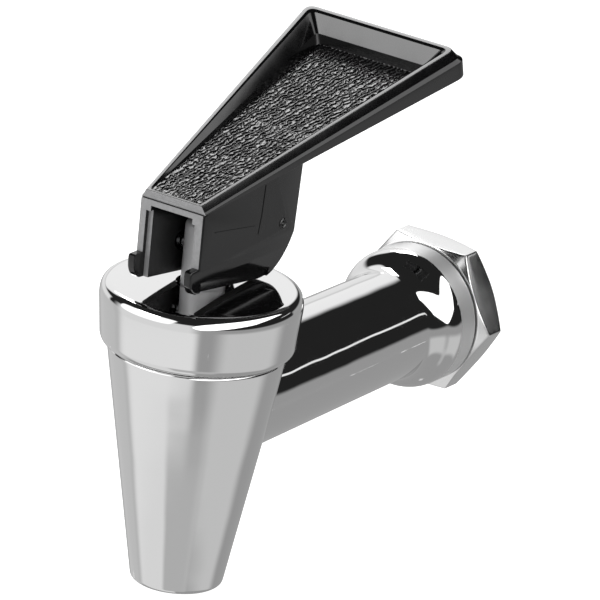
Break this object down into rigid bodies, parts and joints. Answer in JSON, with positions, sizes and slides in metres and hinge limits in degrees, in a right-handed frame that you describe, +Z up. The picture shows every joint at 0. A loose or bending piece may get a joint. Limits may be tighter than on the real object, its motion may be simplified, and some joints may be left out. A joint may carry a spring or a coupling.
{
  "type": "beverage dispenser spigot",
  "caption": "Chrome beverage dispenser spigot with conical spout, horizontal shank with swivelling hexagonal coupling nut, and black lever over a self-closing seat cup valve.",
  "frame": {"origin": "centre of the coupling nut's back face, on the axis of the shank", "axes": "+Y out of the inlet along the shank, towards the dispenser that carries the part; +Z up; the spout stands at -Y"},
  "size_m": [0.032, 0.0854, 0.0817],
  "materials": {
    "chrome_body": "bright chrome plate over cast brass",
    "chrome_bonnet": "bright chrome plate over turned brass",
    "chrome_nut": "bright chrome plate over turned brass",
    "spring_steel": "spring steel wire clip",
    "silicone_washer": "milky silicone",
    "silicone_cup": "milky silicone",
    "acetal": "turned acetal",
    "stainless_pin": "ground stainless pin",
    "stainless_spring": "drawn stainless wire",
    "black_plastic": "moulded black phenolic, grained thumb recess"
  },
  "bodies": {
    "faucet": {"faucet_body": "chrome_body", "bonnet": "chrome_bonnet", "seat_cup": "silicone_cup", "nut_retaining_ring": "spring_steel", "inlet_washer": "silicone_washer"},
    "coupling": {"coupling_nut": "chrome_nut"},
    "spring_turn": {"closing_spring": "stainless_spring"},
    "stem_slider": {"stem": "acetal", "lever_pin": "stainless_pin"},
    "lever": {"lever_handle": "black_plastic"}
  },
  "joints": [
    {"name": "nut_spin", "type": "hinge", "parent": "faucet", "child": "coupling", "pos_m": [0, 0, 0], "axis": [0, 1, 0], "continuous": true},
    {"name": "lever_swivel", "type": "hinge", "parent": "faucet", "child": "spring_turn", "pos_m": [0, -0.0694, 0], "axis": [0, 0, 1], "continuous": true},
    {"name": "stem_lift", "type": "slide", "parent": "spring_turn", "child": "stem_slider", "axis": [0, 0, 1], "range_m": [0, 0.0047], "stiffness_N_per_m": 700, "springref_m": -0.003, "deforming": ["closing_spring", "seat_cup"]},
    {"name": "lever_tilt", "type": "hinge", "parent": "stem_slider", "child": "lever", "pos_m": [0, -0.0694, 0.0272], "axis": [-1, 0, 0], "range_deg": [0, 35]}
  ],
  "couplings": [
    {"joint": "stem_lift", "follows": "lever_tilt", "m_per_rad": 0.0073}
  ]
}
